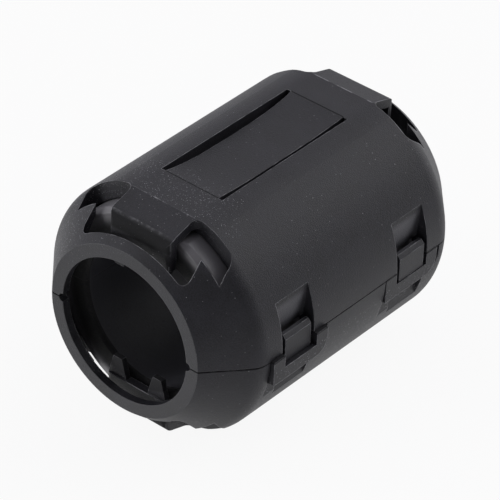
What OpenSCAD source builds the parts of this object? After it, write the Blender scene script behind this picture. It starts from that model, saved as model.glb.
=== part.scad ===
// Clip-on ferrite bead: a hinged two-part moulded case round a split ferrite sleeve.
// The cable runs along Y. The hinge is on the -X side and the latches on the +X side.
// Origin: middle of the lower flat, directly below the cable axis.

/* [Cable opening and cores] */
// Diameter of the cable opening in each end ring
bore_d = 15; // [11:0.5:19]
// How far the bore of the cores stands back from the cable opening, on the radius
core_setback = 0.1; // [0:0.05:0.6]
// Radial wall of the ferrite cores
core_wall = 3.25; // [2.6:0.05:4.4]
// How far the flats of the cores stand inside their round
core_flat = 0.85; // [0.4:0.05:1.2]
// Length of the ferrite cores
core_len = 29.2; // [24:0.2:40]
// Chamfer on the outer edges of the cores' ends
core_chamfer = 0.45; // [0.2:0.05:0.7]
// Chamfer on the bore's edges of the cores' ends
core_bore_chamfer = 0.2; // [0.1:0.05:0.4]
// Gap between the cores and the case, on the radius
core_clear = 0.12; // [0.08:0.02:0.3]
// End play of the cores, at each end
core_play = 0.08; // [0.04:0.02:0.2]

/* [Case walls] */
// Wall of the barrel beside the cores
side_wall = 1.71; // [1.65:0.01:2.4]
// Wall of the two flats over the cores
flat_wall = 1.65; // [1.5:0.01:1.9]
// Radius that blends each flat into the barrel
flat_blend_r = 6.5; // [4:0.5:8]
// How far each end ring stands out beyond the cores
nose_len = 3.2; // [3:0.05:4]
// Thickness of each end ring along the cable
ring_t = 0.84; // [0.6:0.02:1.2]
// Width of the flat face of each end ring
ring_face = 1.35; // [1:0.05:1.8]
// Height of the step behind each end ring
ring_step = 0.35; // [0.1:0.05:0.6]
// Slope of the conical ends, from the cable axis
cone_deg = 41; // [36:1:46]
// Radius that blends each cone into the barrel
shoulder_r = 2.5; // [1:0.25:4]
// Gap between the two halves of the case
seam = 0.08; // [0.04:0.02:0.16]
// Radius of the relief where the halves of a ring meet at the cable opening
seam_relief_r = 0.45; // [0.2:0.05:0.7]

/* [End windows and fingers] */
// Half width of the side slots beside each finger
slot_x = 8.5; // [7.8:0.02:9.2]
// How far the side slots reach back past the end of the cores
slot_back = 2.1; // [1.4:0.1:2.8]
// Radius in the rear corners of the side slots
slot_corner_r = 1.1; // [0.2:0.1:1.2]
// Half width of the throat between each finger and its end ring
throat_x = 6.3; // [5.6:0.1:6.8]
// Radius in the front corners of the throat
throat_corner_r = 0.9; // [0.2:0.1:1.2]
// How far the side slots reach forward past the end of the cores
slot_front = 0.14; // [0.1:0.02:0.5]
// Width of each finger
finger_w = 7.4; // [6.8:0.1:8]
// Radius where each side of a finger meets the case
finger_root_r = 0.8; // [0.3:0.1:0.9]
// Radius on the vertical corners of a finger's tip
finger_side_r = 0.6; // [0.2:0.1:0.7]
// Gap between the finger's tip and the end ring
finger_gap = 0.99; // [0.7:0.01:1.2]
// Slope of the finger's top
finger_deg = 16.5; // [10:0.5:18]
// Outer radius of the bend at the finger's tip
finger_bend_r = 1.25; // [1:0.05:1.6]
// Thickness of the finger's tongue
finger_t = 0.95; // [0.8:0.05:1]
// Thickness of the finger's turned-in tip
tip_t = 0.85; // [0.6:0.05:1]

/* [Cable teeth] */
// Distance between the two teeth of a finger
tooth_pitch = 4.8; // [3.6:0.1:5]
// Width of a tooth at its root
tooth_root = 2.2; // [1.2:0.1:2.3]
// Width of a tooth at its tip
tooth_tip = 1.05; // [0.4:0.05:1.2]
// How far a tooth reaches into the cable opening
tooth_reach = 2.2; // [0.8:0.1:2.6]
// Thickness of a tooth
tooth_t = 0.6; // [0.4:0.05:0.8]

/* [Core-retaining strip] */
// Width of the strip in each flat, at its ends
strip_w = 6.3; // [4:0.1:6.6]
// How much the strip narrows on each side towards its middle
strip_waist = 0.2; // [0.05:0.01:0.3]
// Length of the strip between its creases
strip_len = 17.8; // [12:0.2:21]
// Width of the slot on each side of the strip
strip_gap = 0.5; // [0.3:0.02:0.6]
// How far the strip is bowed in towards the core
strip_bow = 0.5; // [0.3:0.01:0.95]
// Play between the strip and the core
strip_play = 0.05; // [0.02:0.01:0.12]

/* [Latches] */
// Distance of each latch from the middle of the case
latch_y = 8.3; // [7.6:0.1:8.8]
// Width of the latch windows
window_w = 4.5; // [3.6:0.1:4.8]
// Width of the hooks
hook_w = 3.6; // [2.6:0.1:3.6]
// Width of the latch loops
loop_w = 7.6; // [6.6:0.1:8.2]
// Thickness of the latch loops
loop_t = 0.75; // [0.6:0.05:0.9]
// How far the near loop stands proud of the barrel
near_proud = 0.4; // [0.02:0.02:0.5]
// How far the far loop stands proud of the barrel
far_proud = 0.02; // [0.02:0.02:0.5]
// Room behind the loops in their pockets
loop_clear = 0.05; // [0.02:0.01:0.1]
// Gap between each loop and the near side of its pocket
pocket_near_gap = 0.14; // [0.1:0.02:0.3]
// Gap between each loop and the far side and the floor of its pocket
pocket_far_gap = 0.36; // [0.2:0.02:0.5]
// Width of the slot below each loop, where it is lifted to open the case
lift_slot_w = 6; // [4:0.1:6.4]
// Height of the bar across the bottom of each loop
bar_h = 1.3; // [0.9:0.05:1.6]
// How far the underside of each hook lies below the seam
ledge_drop = 1.2; // [0.8:0.05:1.6]
// Play between the hook's underside and the bar
latch_play = 0.06; // [0.04:0.02:0.15]
// Height of each hook above the seam
hook_rise = 1.7; // [1.2:0.05:2.2]
// How far the hook's nose stands back from the barrel's surface
hook_inset = 0.06; // [0:0.02:0.15]
// Radius on the far lower corner of each loop
loop_corner_r = 1.6; // [0.5:0.05:1.9]
// Depth of the latch recesses at the seam
recess_depth = 1.48; // [1.2:0.02:1.6]
// Draft of the latch recesses' floors
recess_draft = 4.4; // [2:0.2:6]

/* [Living hinge] */
// Distance of the middle of each strap from the middle of the case
strap_y = 8; // [6.5:0.1:8.5]
// Width of each strap
strap_w = 5; // [3:0.1:6]
// Thickness of the straps
strap_t = 0.25; // [0.2:0.05:0.35]
// Inner radius of the folded straps
fold_r = 0.4; // [0.3:0.05:0.45]
// How far the fold's centre stands out from the barrel
fold_out = 0.4; // [0.3:0.05:0.45]
// Depth of the seats that the straps' ends are let into
strap_seat = 0.5; // [0.3:0.05:0.7]
// Clearance round the straps' ends
strap_clear = 0.05; // [0.03:0.01:0.1]

/* [Hidden] */
$fn = 96;
// Radii
bore_r = bore_d / 2;
core_in_r = bore_r + core_setback;
core_out_r = core_in_r + core_wall;
core_flat_z = core_out_r - core_flat;
cavity_r = core_out_r + core_clear;
cavity_flat_z = core_flat_z + core_clear;
body_r = cavity_r + side_wall;
flat_z = cavity_flat_z + flat_wall;
face_r = bore_r + ring_face;
half_len = core_len / 2 + nose_len;
// Where the cone's line meets the barrel's, and the blend's tangent points
cone_y = half_len - (body_r - face_r) / tan(cone_deg);
blend_t = shoulder_r * tan(cone_deg / 2);
blend_y = cone_y - blend_t;
// The centre of the arc between flat and barrel: it crosses the barrel almost tangentially
blend_z = flat_z - flat_blend_r;
blend_x = sqrt(pow(body_r - flat_blend_r + 0.03, 2) - pow(blend_z, 2));
// Windows, measured from the middle of the case
window_back_y = core_len / 2 - slot_back;
window_step_y = core_len / 2 + slot_front;
ring_back_y = half_len - ring_t;
finger_tip_y = ring_back_y - finger_gap;
// The finger's crease, and the sharp corner that its bend rounds off
crease_y = window_back_y + 0.15;
finger_corner_z = flat_z - (finger_tip_y - crease_y) * tan(finger_deg);
// Latches
pocket_x = body_r - loop_t - loop_clear;
recess_x = body_r - recess_depth;
bar_top_z = -ledge_drop - latch_play;
bar_low_z = bar_top_z - bar_h;
// Reach of the cutting solids beyond the case
out = 3;
// Straps
fold_x = -body_r - fold_out;
fold_outer_r = fold_r + strap_t;

// Outside form of the whole case: a barrel with conical ends and two blended flats
module envelope() {
    intersection() {
        rotate([-90, 0, 0])
        rotate_extrude()
        envelope_profile();
        rotate([90, 0, 0])
        linear_extrude(height = 2 * half_len + out, center = true)
        envelope_section();
    }
}

module envelope_profile() {
    polygon([
        [0, -half_len],
        [face_r, -half_len],
        [body_r - blend_t * sin(cone_deg), -cone_y - blend_t * cos(cone_deg)],
        [body_r - shoulder_r, -blend_y],
        [body_r, -blend_y],
        [body_r, blend_y],
        [body_r - shoulder_r, blend_y],
        [body_r - blend_t * sin(cone_deg), cone_y + blend_t * cos(cone_deg)],
        [face_r, half_len],
        [0, half_len]
    ]);
    for (s = [-1, 1])
        translate([body_r - shoulder_r, s * blend_y])
        circle(r = shoulder_r);
}

module envelope_section() {
    far = 3;
    square([2 * blend_x, 2 * flat_z], center = true);
    for (sx = [-1, 1]) {
        polygon([
            [0, 0],
            [far * sx * blend_x, far * blend_z],
            [far * sx * body_r, far * blend_z],
            [far * sx * body_r, -far * blend_z],
            [far * sx * blend_x, -far * blend_z]
        ]);
        for (sz = [-1, 1])
            translate([sx * blend_x, sz * blend_z])
            circle(r = flat_blend_r);
    }
}

// The hollow inside the case: the cores' seat, the hollow cones and the cable opening
module cavity() {
    core_y = core_len / 2 + core_play;
    intersection() {
        rotate([-90, 0, 0])
        rotate_extrude()
        polygon([
            [0, -ring_back_y],
            [bore_r + ring_step, -ring_back_y],
            [cavity_r - core_chamfer, -core_y],
            [cavity_r, core_chamfer - core_y],
            [cavity_r, core_y - core_chamfer],
            [cavity_r - core_chamfer, core_y],
            [bore_r + ring_step, ring_back_y],
            [0, ring_back_y]
        ]);
        cube([4 * body_r, 4 * half_len, 2 * cavity_flat_z], center = true);
    }
    rotate([90, 0, 0])
    cylinder(r = bore_r, h = 2 * half_len + out, center = true);
}

// Plan of one end window, with its finger left out of it
module window_plan() {
    r = slot_corner_r;
    t = throat_corner_r;
    for (s = [-1, 1]) {
        translate([s * (slot_x - r), window_back_y + r])
        circle(r = r);
        translate([s * (throat_x - t), ring_back_y - t])
        circle(r = t);
    }
    translate([r - slot_x, window_back_y])
    square([2 * (slot_x - r), 2 * r]);
    translate([-slot_x, window_back_y + r])
    square([2 * slot_x, window_step_y - window_back_y - r]);
    translate([-throat_x, window_step_y - 0.01])
    square([2 * throat_x, ring_back_y - t - window_step_y + 0.01]);
    translate([t - throat_x, ring_back_y - 2 * t])
    square([2 * (throat_x - t), 2 * t]);
}

// One end window, cut straight down through the wall of the upper half
module end_window() {
    translate([0, 0, cavity_r * 0.36])
    linear_extrude(height = body_r)
    window_plan();
}

// Plan of one finger: splayed at its root, rounded at its tip
module finger_plan() {
    h = finger_w / 2;
    r = finger_side_r;
    f = finger_root_r;
    translate([-h, window_back_y - f])
    square([finger_w, finger_tip_y - r - window_back_y + f]);
    translate([r - h, window_back_y])
    square([finger_w - 2 * r, finger_tip_y - window_back_y]);
    for (s = [-1, 1])
        translate([s * (h - r), finger_tip_y - r])
        circle(r = r);
    difference() {
        translate([-h - f, window_back_y - f])
        square([finger_w + 2 * f, 2 * f]);
        for (s = [-1, 1])
            translate([s * (h + f), window_back_y + f])
            circle(r = f);
    }
}

// Side view of one finger: a tongue that slopes down from its flat and bends in at the tip
module finger_profile() {
    in_y = finger_tip_y - tip_t;
    in_z = finger_corner_z - finger_t / cos(finger_deg) + tip_t * tan(finger_deg);
    root_y = window_back_y - finger_root_r;
    mid_y = finger_tip_y - finger_bend_r;
    mid_z = finger_corner_z - finger_bend_r * (1 - sin(finger_deg)) / cos(finger_deg);
    foot = finger_bend_r * tan(45 - finger_deg / 2);
    difference() {
        polygon([
            [root_y, flat_z],
            [crease_y, flat_z],
            [finger_tip_y, finger_corner_z],
            [finger_tip_y, bore_r - 0.04],
            [in_y, bore_r - 0.04],
            [in_y, in_z],
            [crease_y, flat_z - finger_t / cos(finger_deg)],
            [root_y, flat_z - finger_t / cos(finger_deg)]
        ]);
        difference() {
            polygon([
                [finger_tip_y - foot * cos(finger_deg), finger_corner_z + foot * sin(finger_deg)],
                [finger_tip_y + 1, finger_corner_z + foot * sin(finger_deg)],
                [finger_tip_y + 1, finger_corner_z - foot],
                [finger_tip_y, finger_corner_z - foot],
                [mid_y, mid_z]
            ]);
            translate([mid_y, mid_z])
            circle(r = finger_bend_r);
        }
    }
}

// One finger with its two cable teeth
module finger() {
    intersection() {
        rotate([90, 0, 90])
        linear_extrude(height = 2 * body_r, center = true)
        finger_profile();
        linear_extrude(height = body_r)
        finger_plan();
        rotate([90, 0, 0])
        linear_extrude(height = 2 * half_len, center = true)
        envelope_section();
    }
    for (s = [-1, 1])
        translate([s * tooth_pitch / 2, finger_tip_y - (tip_t - tooth_t) / 2, bore_r])
        rotate([90, 0, 0])
        linear_extrude(height = tooth_t)
        polygon([
            [-tooth_root / 2, 0.5],
            [-tooth_root / 2, 0],
            [-tooth_tip / 2, -tooth_reach],
            [tooth_tip / 2, -tooth_reach],
            [tooth_root / 2, 0],
            [tooth_root / 2, 0.5]
        ]);
}

// How far along its bow or its waist the strip is, from 0 at its ends to 1 in its middle
function bow(t) = 1 - pow(abs(t), 3);

// The strip in the flat, bowed in towards the core and joined at both ends
module strip() {
    strip_t = flat_wall + core_clear - strip_bow - strip_play;
    steps = 32;
    half = strip_len / 2;
    root = half + 0.4;
    top = [for (i = [0:steps]) let (t = 2 * i / steps - 1) [t * half, flat_z - strip_bow * bow(t)]];
    under = [for (i = [0:steps]) let (t = 1 - 2 * i / steps)
        [t * half, flat_z - strip_t - strip_bow * bow(t)]];
    side = [for (i = [0:steps]) let (t = 2 * i / steps - 1)
        [strip_w / 2 - strip_waist * bow(t), t * half]];
    other = [for (i = [0:steps]) let (t = 1 - 2 * i / steps)
        [strip_waist * bow(t) - strip_w / 2, t * half]];
    intersection() {
        rotate([90, 0, 90])
        linear_extrude(height = strip_w, center = true)
        polygon(concat([[-root, flat_z]], top, [[root, flat_z], [root, flat_z - strip_t]], under,
            [[-root, flat_z - strip_t]]));
        linear_extrude(height = body_r)
        polygon(concat([[strip_w / 2, -root]], side, [[strip_w / 2, root], [-strip_w / 2, root]], other,
            [[-strip_w / 2, -root]]));
    }
}

// Recess in the barrel over one latch, its floor drafted inwards to the seam
module latch_recess() {
    h = body_r / 2;
    translate([0, latch_y, 0])
    rotate([90, 0, 0])
    linear_extrude(height = window_w, center = true)
    polygon([
        [recess_x, 0],
        [recess_x + h * tan(recess_draft), h],
        [body_r + out, h],
        [body_r + out, 0]
    ]);
}

// What the two halves of the case have in common, drawn as the upper half
module half_shell() {
    difference() {
        intersection() {
            envelope();
            translate([0, 0, seam / 2 + body_r])
            cube([4 * body_r, 2 * half_len + out, 2 * body_r], center = true);
        }
        cavity();
        end_window();
        mirror([0, 1, 0])
        end_window();
        translate([0, 0, flat_z])
        cube([strip_w + 2 * strip_gap, strip_len, 4 * flat_wall], center = true);
        latch_recess();
        mirror([0, 1, 0])
        latch_recess();
        for (s = [-1, 1]) {
            translate([s * bore_r, 0, 0])
            rotate([90, 0, 0])
            cylinder(r = seam_relief_r, h = 2 * half_len + out, center = true);
            translate([-body_r, s * strap_y, 0])
            cube([2 * strap_seat, strap_w + 2 * strap_clear, 2 * (fold_outer_r + strap_clear)], center = true);
        }
    }
    finger();
    mirror([0, 1, 0])
    finger();
    strip();
}

module lower_half() {
    mirror([0, 0, 1])
    half_shell();
}

// Hook of one latch, standing in the window
module hook() {
    nose_x = body_r - hook_inset;
    translate([0, latch_y, 0])
    rotate([90, 0, 0])
    linear_extrude(height = hook_w, center = true)
    polygon([
        [recess_x - 0.25, -ledge_drop],
        [nose_x, -ledge_drop],
        [nose_x, hook_rise - 0.4],
        [nose_x - 0.35, hook_rise],
        [nose_x - 0.7, hook_rise],
        [recess_x, hook_rise - 1],
        [recess_x, -seam],
        [recess_x - 0.25, -seam]
    ]);
}

// Pocket in the lower half for one latch loop, with the slot below it that runs out of the barrel
module loop_pocket() {
    w = loop_w + pocket_near_gap + pocket_far_gap;
    r = loop_corner_r + pocket_far_gap / 2;
    floor_z = bar_low_z - pocket_far_gap;
    corner = [for (t = [0:10:90]) [w - r + r * sin(t), floor_z + r - r * cos(t)]];
    translate([pocket_x, -loop_w / 2 - pocket_near_gap, 0])
    rotate([90, 0, 90])
    linear_extrude(height = out) {
        polygon(concat([[0, 1], [0, floor_z]], corner, [[w, 1]]));
        translate([0, -body_r / 2])
        square([lift_slot_w, body_r / 2]);
    }
}

module lower_shell() {
    color([0.16, 0.16, 0.17])
    seat() {
        difference() {
            lower_half();
            for (s = [-1, 1])
                translate([0, s * latch_y, 0])
                loop_pocket();
        }
        hook();
        mirror([0, 1, 0])
        hook();
    }
}

// Opening in the wall of the upper half that the hook stands in
module hook_way() {
    translate([recess_x - 0.4, latch_y - window_w / 2, -1])
    cube([side_wall, window_w, hook_rise + 0.75]);
}

module upper_shell() {
    color([0.18, 0.18, 0.19])
    seat()
    difference() {
        half_shell();
        hook_way();
        mirror([0, 1, 0])
        hook_way();
    }
}

// One latch loop: two legs and the bar that the hook's underside holds
module loop(proud) {
    r = loop_corner_r;
    h = seam / 2 - bar_low_z;
    translate([body_r + proud - loop_t, 0, 0])
    rotate([90, 0, 90])
    linear_extrude(height = loop_t)
    difference() {
        translate([-loop_w / 2, bar_low_z])
        square([loop_w, h]);
        translate([loop_w / 2 - r, bar_low_z])
        difference() {
            square([r + out, r]);
            translate([0, r])
            circle(r = r);
        }
        translate([-window_w / 2, bar_top_z])
        square([window_w, out]);
    }
}

module latch_loop_far() {
    color([0.2, 0.2, 0.21])
    seat()
    translate([0, latch_y, 0])
    loop(far_proud);
}

module latch_loop_near() {
    color([0.2, 0.2, 0.21])
    seat()
    translate([0, -latch_y, 0])
    loop(near_proud);
}

// Half of the ferrite sleeve
module core() {
    c = core_chamfer;
    b = core_bore_chamfer;
    h = core_len / 2;
    intersection() {
        rotate([-90, 0, 0])
        rotate_extrude()
        polygon([
            [core_in_r, b - h],
            [core_in_r + b, -h],
            [core_out_r - c, -h],
            [core_out_r, c - h],
            [core_out_r, h - c],
            [core_out_r - c, h],
            [core_in_r + b, h],
            [core_in_r, h - b]
        ]);
        translate([0, 0, core_flat_z / 2])
        cube([4 * body_r, 2 * core_len, core_flat_z], center = true);
    }
}

module ferrite_core_upper() {
    color([0.3, 0.3, 0.32])
    seat()
    core();
}

module ferrite_core_lower() {
    color([0.3, 0.3, 0.32])
    seat()
    mirror([0, 0, 1])
    core();
}

// One strap of the living hinge, folded into a U with its ends let into both halves
module strap() {
    translate([0, strap_y, 0])
    rotate([90, 0, 0])
    linear_extrude(height = strap_w, center = true)
    difference() {
        union() {
            translate([fold_x, 0])
            circle(r = fold_outer_r);
            translate([fold_x, -fold_outer_r])
            square([fold_out + strap_seat, 2 * fold_outer_r]);
        }
        translate([fold_x, 0])
        circle(r = fold_r);
        translate([fold_x, -fold_r])
        square([2 * fold_out + strap_seat + fold_outer_r, 2 * fold_r]);
    }
}

module hinge_strap_far() {
    color([0.2, 0.2, 0.21])
    seat()
    strap();
}

module hinge_strap_near() {
    color([0.2, 0.2, 0.21])
    seat()
    mirror([0, 1, 0])
    strap();
}

// Lifts what is drawn round the cable axis so that the lower flat lies on z = 0
module seat() {
    translate([0, 0, flat_z])
    children();
}

lower_shell();
upper_shell();
ferrite_core_lower();
ferrite_core_upper();
latch_loop_near();
latch_loop_far();
hinge_strap_near();
hinge_strap_far();
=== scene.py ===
"""Finishes, hinge straps and studio for a clip-on ferrite bead."""

import math

import bmesh
import bpy
from mathutils import Matrix, Vector


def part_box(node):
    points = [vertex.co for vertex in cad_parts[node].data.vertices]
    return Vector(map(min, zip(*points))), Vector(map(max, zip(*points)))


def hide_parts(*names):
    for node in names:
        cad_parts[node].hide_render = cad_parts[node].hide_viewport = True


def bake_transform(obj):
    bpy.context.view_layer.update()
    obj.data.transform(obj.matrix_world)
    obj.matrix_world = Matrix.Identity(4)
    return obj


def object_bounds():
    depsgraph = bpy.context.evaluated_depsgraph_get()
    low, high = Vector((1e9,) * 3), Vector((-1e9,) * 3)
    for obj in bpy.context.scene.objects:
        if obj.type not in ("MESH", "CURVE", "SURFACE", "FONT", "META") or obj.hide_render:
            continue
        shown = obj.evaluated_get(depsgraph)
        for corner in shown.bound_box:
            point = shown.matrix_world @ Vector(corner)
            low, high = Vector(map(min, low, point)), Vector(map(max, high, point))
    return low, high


bl_info = {
    "name": "Clip-on ferrite bead",
    "version": (1, 0, 0),
    "blender": (4, 5, 0),
    "location": "View3D > Sidebar > Ferrite Bead",
    "description": "Case, cores, living hinge and studio of a clip-on ferrite bead",
    "category": "Object",
}

MM = 0.001

# Pieces of the part, as they are named in model.glb
CASE_NODES = ("lower_shell", "upper_shell", "latch_loop_near", "latch_loop_far")
CORE_NODES = ("ferrite_core_lower", "ferrite_core_upper")
STRAP_NODES = ("hinge_strap_near", "hinge_strap_far")

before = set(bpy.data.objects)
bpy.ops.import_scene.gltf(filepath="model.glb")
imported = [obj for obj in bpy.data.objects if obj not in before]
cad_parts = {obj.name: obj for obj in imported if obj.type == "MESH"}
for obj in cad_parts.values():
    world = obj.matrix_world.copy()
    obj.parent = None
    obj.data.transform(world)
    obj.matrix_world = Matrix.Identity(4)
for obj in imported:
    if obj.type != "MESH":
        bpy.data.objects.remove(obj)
CAD_LOW, CAD_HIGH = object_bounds()

# The halves meet at the height of the cable axis
_, LOWER_CORE_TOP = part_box("ferrite_core_lower")
AXIS_HEIGHT = LOWER_CORE_TOP.z

# Places on the case: along the cable axis from its middle, across it towards the
# latches, up from it or out from it. A pair says from where to where a mask changes.
LATCH_PLACE = 8.3 * MM
LATCH_SIDE = (9 * MM, 9.5 * MM)
HINGE_SIDE = -11 * MM
FLATS_FROM = 11 * MM
FINGER_TIP = 16.1 * MM
FINGER_HALF = 3.6 * MM
FINGER_RISE = (9 * MM, 9.4 * MM)
RING_LIP = (17.3 * MM, 17.1 * MM)
# Inside TOOTH_REACH the teeth in the bore get painted shade
TOOTH_REACH = (7.3 * MM, 7 * MM)

# Where flecks show, partly fibres and partly painted glints where the light grazes: a band
# at the near end that thins out towards the ring, the cheek beside the ring, and the lower
# half, but few of them by the hinge
BAND_LENGTH = 3 * MM
BAND_THINS = (-13.5 * MM, -12 * MM)
CHEEK_ALONG = (-12 * MM, -13 * MM)
CHEEK_ENDS = (-17.7 * MM, -17.3 * MM)
CHEEK_ACROSS = (-5.5 * MM, -8 * MM)
UPPER_SIDE = (-0.6, 0, 0.8)
UPPER_RISE = (4 * MM, 8 * MM)
LOWER_HALF = (-1 * MM, -2 * MM)
LOWER_ENDS = (14 * MM, 12 * MM)
HINGE_FLECKS = (-12.4 * MM, -9.5 * MM)

# The floors above the latches, which get a painted sheen: their ends, how far they rise
# from the axis, and the slant along which the sheen gives way to painted shade
FLOOR_EDGE = 0.3 * MM
FLOOR_ENDS = (10.8 * MM, 10.5 * MM)
FLOOR_RISE = (0.6 * MM, 2.4 * MM)
SLANT_FROM = 1 * MM
SLANT_SLOPE = 0.55
SLANT_DARKENS = (-0.3 * MM, 0.8 * MM)

# How squarely a face looks along the cable where a finger's brow begins and ends
# and where its front begins, and how squarely up where the cores meet
BROW_BEGINS = (0.5, 0.58)
BROW_ENDS = (0.76, 0.66)
FRONT_BEGINS = (0.55, 0.8)
MATING_BEGINS = (0.9, 0.95)

# How strongly each mark on the case shows, as a share of its full colour
FEWEST_FLECKS = 0.03
RING_FLECKS = 0.12
LOWER_FLECKS = 0.6
FEW_HINGE_FLECKS = 0.1
FLECK_SHARE = 0.9
BROW_SHARE = 0.22
FOLD_SHARE = 0.9
RING_EDGE_SHARE = 0.2
LATCH_SHEEN_SHARE = 0.8
FLOOR_FAR_SIDE = 0.1
HOLLOW_SHARE = 0.45
FRONT_SHARE = 0.9
TOOTH_SHARE = 0.6
SHADE_SHARE = 0.9

# The same for the cores
PIT_SHARE = 0.7
WEAR_SHARE = 0.5
GROUND_AND_SHEEN_SHARE = 0.9

# Darker and lighter tones of the grain, and how the pale lines break up
CASE_TONES = (0.5, 1.6)
CORE_TONES = (0.78, 1.25)
PIT_TONE = 0.4
LINE_BREAKS = (0.48, 0.62, 0.05)
BREAK_GRAINS = 7

# A finger's fold, a line of painted highlight, is drawn narrower than the other lines,
# which are also grooves
FOLD_NARROWING = 1.6
GROOVE_DEPTH = 1.5

# The folded straps: how close points are one
SAME_POINT = 0.001 * MM

# Places on the cores: the outer face, whose paler colour is a painted sheen, the height of
# the mating faces, and where the ends' painted shade begins
OUTER_FACE = (9 * MM, 10 * MM)
MATING_RISE = 0.2 * MM
CORE_END = 0.1 * MM

# Places on the floor's painted light, which only the bead's reflections see: the lit side,
# its reach, and the bright patch that the ring mirrors
LIT_SIDE = (-0.77, 0.64, 0)
LIT_FROM = (-32 * MM, -14 * MM)
FLOOR_FADES = (50 * MM, 75 * MM)
PATCH_EDGE = (28 * MM, 16 * MM)

# Fixed colours, among them the painted shade of case and cores, and where the sky turns
# from its dark side to its bright one
WHITE = (1, 1, 1, 1)
CASE_SHADE = (0.002, 0.002, 0.0023, 1)
CORE_SHADE = (0.003, 0.003, 0.0034, 1)
SKY_COLOUR = (0.94, 0.93, 1, 1)
SKY_TURNS = (-0.42, 0.1)

# Lamps: name, place, size in metres, and the setting that holds its power
LAMPS = (
    ("Side lamp", (0.22, 0.3, 0.34), 0.3, "side_power"),
    ("Rear lamp", (0.05, 0.49, 0.085), 0.3, "rear_power"),
    ("Front lamp", (-0.3, -0.42, 0.06), 0.2, "front_power"),
)

# The camera looks a little beside and below the middle of the cable axis. Its
# sensor is in millimetres.
CAMERA_ASIDE = 0.082 * MM
CAMERA_BELOW = 0.275 * MM
SENSOR_WIDTH = 36

# Half the floor's side in metres, and the gap between the floor and the bead
FLOOR_HALF = 2.0
FLOOR_GAP = 0.02 * MM


def rgba(colour):
    """A colour property as the four numbers a node socket takes."""
    return (colour[0], colour[1], colour[2], 1.0)


# ---------------------------------------------------------------- settings


class CaseLook(bpy.types.PropertyGroup):
    """Black moulded polyamide of the case."""

    colour: bpy.props.FloatVectorProperty(
        name="Colour",
        description="Base colour of the moulded case",
        subtype="COLOR",
        size=3,
        min=0,
        max=1,
        default=(0.0168, 0.0166, 0.0205),
    )
    # Pale edges and lines in this colour are partly wear and partly painted highlights
    rubbed_and_highlight_colour: bpy.props.FloatVectorProperty(
        name="Rubbed colour",
        description="Colour that the case has on its rubbed edges",
        subtype="COLOR",
        size=3,
        min=0,
        max=1,
        default=(0.42, 0.42, 0.44),
    )
    # The flecks in this colour are partly fibres and partly painted glints
    fleck_colour: bpy.props.FloatVectorProperty(
        name="Fleck colour",
        description="Colour of the few glass fibres that show at the surface",
        subtype="COLOR",
        size=3,
        min=0,
        max=1,
        default=(0.42, 0.42, 0.44),
    )
    roughness: bpy.props.FloatProperty(
        name="Roughness",
        description="Roughness of the mould's matte face",
        subtype="FACTOR",
        min=0,
        max=1,
        default=0.48,
    )
    edge_radius: bpy.props.FloatProperty(
        name="Edge radius",
        description="Radius that the light sees on the moulding's edges",
        subtype="DISTANCE",
        unit="LENGTH",
        min=0,
        default=0.14 * MM,
    )
    grain_size: bpy.props.FloatProperty(
        name="Grain size",
        description="Width of one grain of the mould's texture",
        subtype="DISTANCE",
        unit="LENGTH",
        min=0.01 * MM,
        default=0.11 * MM,
    )
    fleck_size: bpy.props.FloatProperty(
        name="Fleck spacing",
        description="Spacing of the places where a fibre may show",
        subtype="DISTANCE",
        unit="LENGTH",
        min=0.05 * MM,
        default=0.17 * MM,
    )
    # The near end's band of flecks is partly painted glints
    scuff_from: bpy.props.FloatProperty(
        name="Scuffs from",
        description="Place along the cable axis where the near end's scuffs begin",
        subtype="DISTANCE",
        unit="LENGTH",
        default=-6 * MM,
    )
    # This colour is a painted sheen on the latch floors
    recess_sheen_colour: bpy.props.FloatVectorProperty(
        name="Recess colour",
        description="Colour of the smooth floors above the latches",
        subtype="COLOR",
        size=3,
        min=0,
        max=1,
        default=(0.13, 0.13, 0.14),
    )
    recess_from: bpy.props.FloatProperty(
        name="Recess depth",
        description="Distance from the cable axis within which a floor is recessed",
        subtype="DISTANCE",
        unit="LENGTH",
        min=0,
        default=12.5 * MM,
    )
    finger_fold: bpy.props.FloatProperty(
        name="Finger's fold",
        description="Distance from the middle to where a finger leaves its flat",
        subtype="DISTANCE",
        unit="LENGTH",
        min=0,
        default=12.65 * MM,
    )
    strip_end: bpy.props.FloatProperty(
        name="Strip's end",
        description="Distance from the middle to where the strip leaves its flat",
        subtype="DISTANCE",
        unit="LENGTH",
        min=0,
        default=8.9 * MM,
    )
    strip_half: bpy.props.FloatProperty(
        name="Half of the strip's width",
        description="Half the length of the line at the bowed strip's end",
        subtype="DISTANCE",
        unit="LENGTH",
        min=0,
        default=3.15 * MM,
    )


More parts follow.
